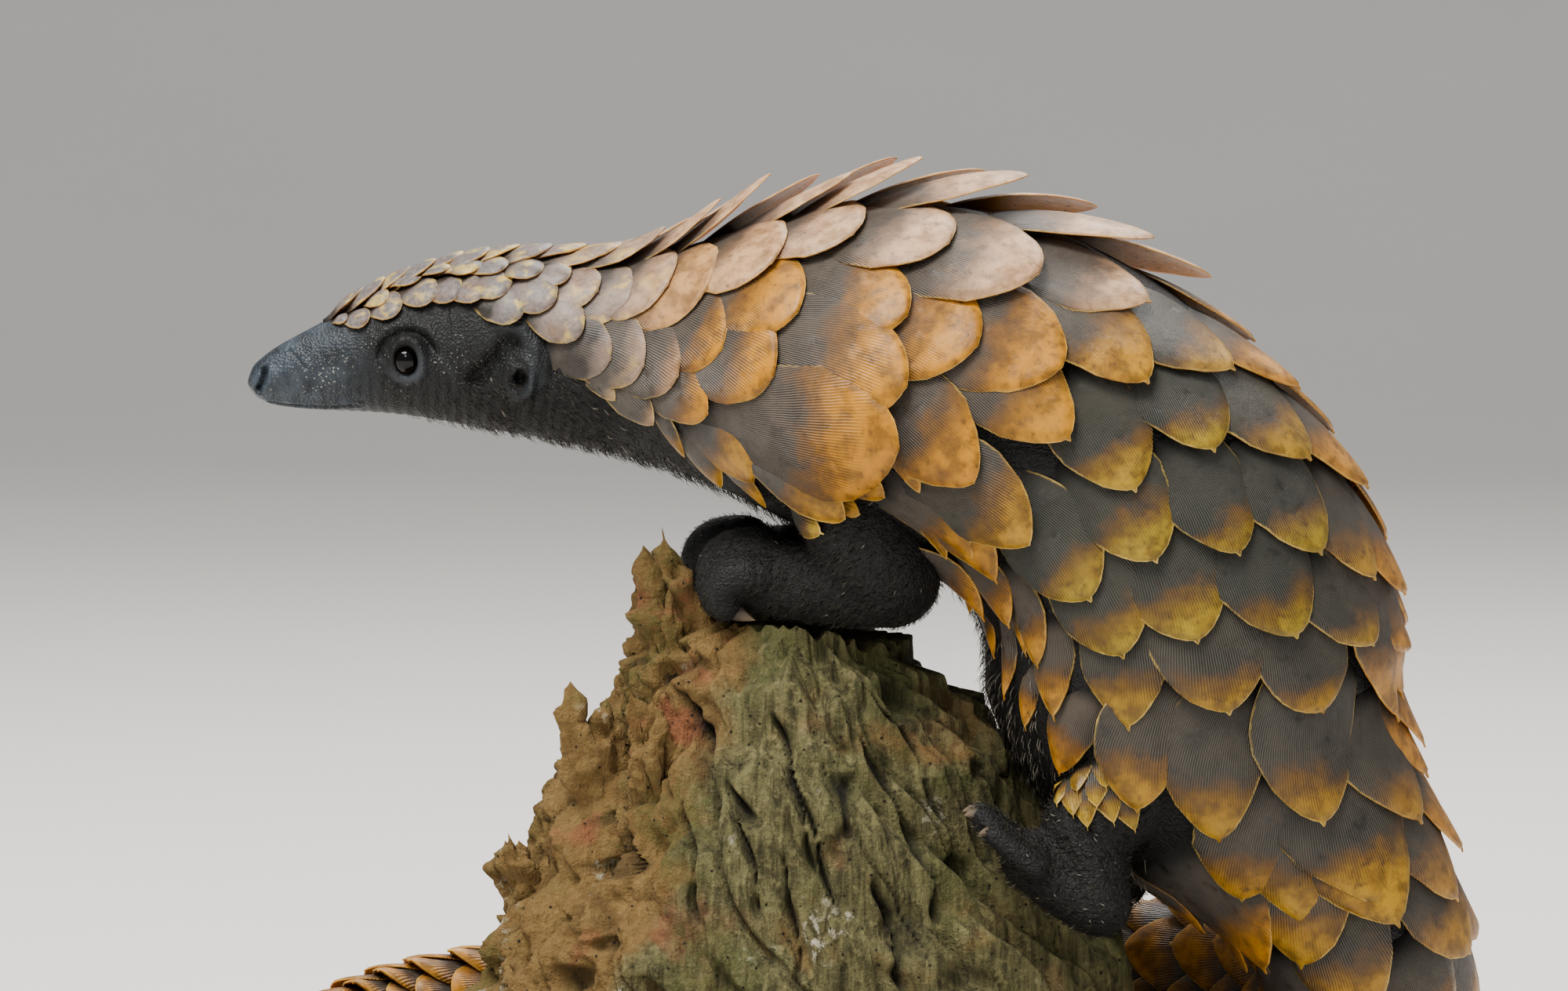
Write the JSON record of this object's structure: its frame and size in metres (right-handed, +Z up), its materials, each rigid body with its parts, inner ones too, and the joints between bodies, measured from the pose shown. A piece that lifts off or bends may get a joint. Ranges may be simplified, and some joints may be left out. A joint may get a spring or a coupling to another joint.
{
  "type": "black-bellied pangolin on stump",
  "caption": "Life-size still model of a long-tailed black-bellied pangolin crouched over a broken stump, its scaled tail curled round the foot, on a plain oval stand.",
  "frame": {"origin": "middle of the stand base's underside", "axes": "+Z up, +X from the nose towards the rump, the animal's left side towards -Y"},
  "size_m": [0.3218, 0.2533, 0.2752],
  "materials": {
    "skin": "matt charcoal skin with fine speckles",
    "scale": "satin horn, grey-brown at the root, amber towards a pale rim",
    "fur": "short black hair",
    "eye": "glossy, nearly black",
    "wood": "weathered bare wood with moss",
    "stand": "satin dark grey"
  },
  "bodies": {
    "root": {"head": "skin", "neck": "scale", "torso_front": "scale", "torso_middle": "scale", "torso_rear": "scale", "tail_1": "scale", "tail_2": "scale", "tail_3": "scale", "tail_4": "scale", "tail_5": "scale", "tail_6": "scale", "tail_7": "scale", "tail_8": "scale", "eye_left": "eye", "ear_left": "skin", "foreleg_left_upper": "fur", "foreleg_left_lower": "fur", "hindleg_left_upper": "fur", "hindleg_left_lower": "fur", "eye_right": "eye", "ear_right": "skin", "foreleg_right_upper": "fur", "foreleg_right_lower": "fur", "hindleg_right_upper": "fur", "hindleg_right_lower": "fur", "perch": "wood", "stand_base": "stand", "stand_rod_1": "stand", "stand_rod_2": "stand"}
  },
  "joints": []
}
